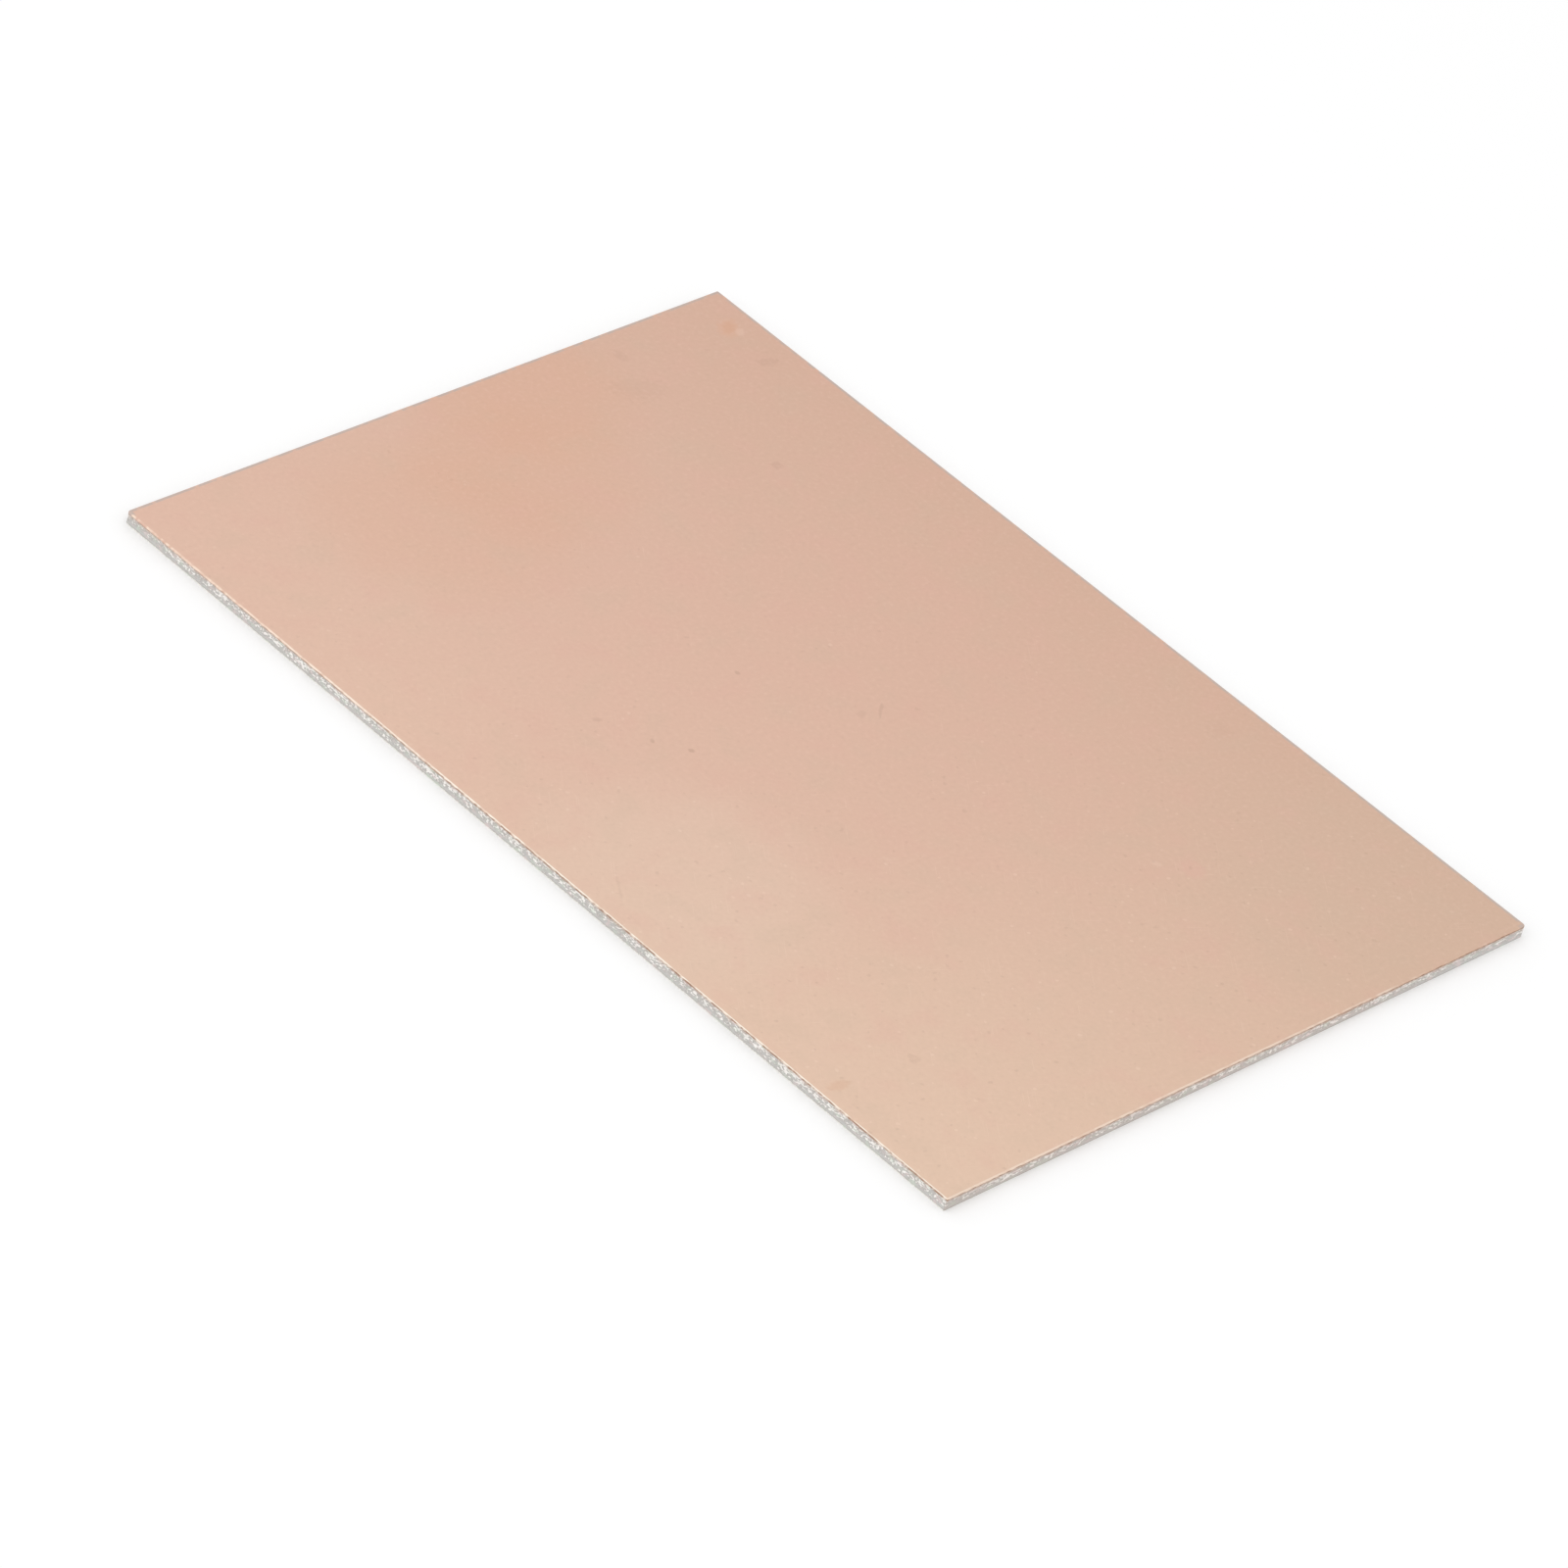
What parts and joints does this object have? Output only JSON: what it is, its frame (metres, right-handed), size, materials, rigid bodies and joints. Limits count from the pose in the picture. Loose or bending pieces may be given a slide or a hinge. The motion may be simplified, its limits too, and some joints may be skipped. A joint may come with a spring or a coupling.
{
  "type": "copper clad board",
  "caption": "Flat rectangular blank of glass-epoxy laminate with copper foil bonded over its upper face, for cutting and etching into a circuit board.",
  "frame": {"origin": "middle of the bare underside, on the surface that the board lies on", "axes": "+X along the long side, +Y along the short side, +Z along the board's normal, out of the copper face"},
  "size_m": [0.1, 0.07, 0.0012],
  "materials": {
    "copper": "satin, faintly clouded bare copper",
    "laminate": "matt sheared glass-epoxy, pale grey with white fibre ends"
  },
  "bodies": {
    "root": {"copper_foil": "copper", "laminate_core": "laminate"}
  },
  "joints": []
}
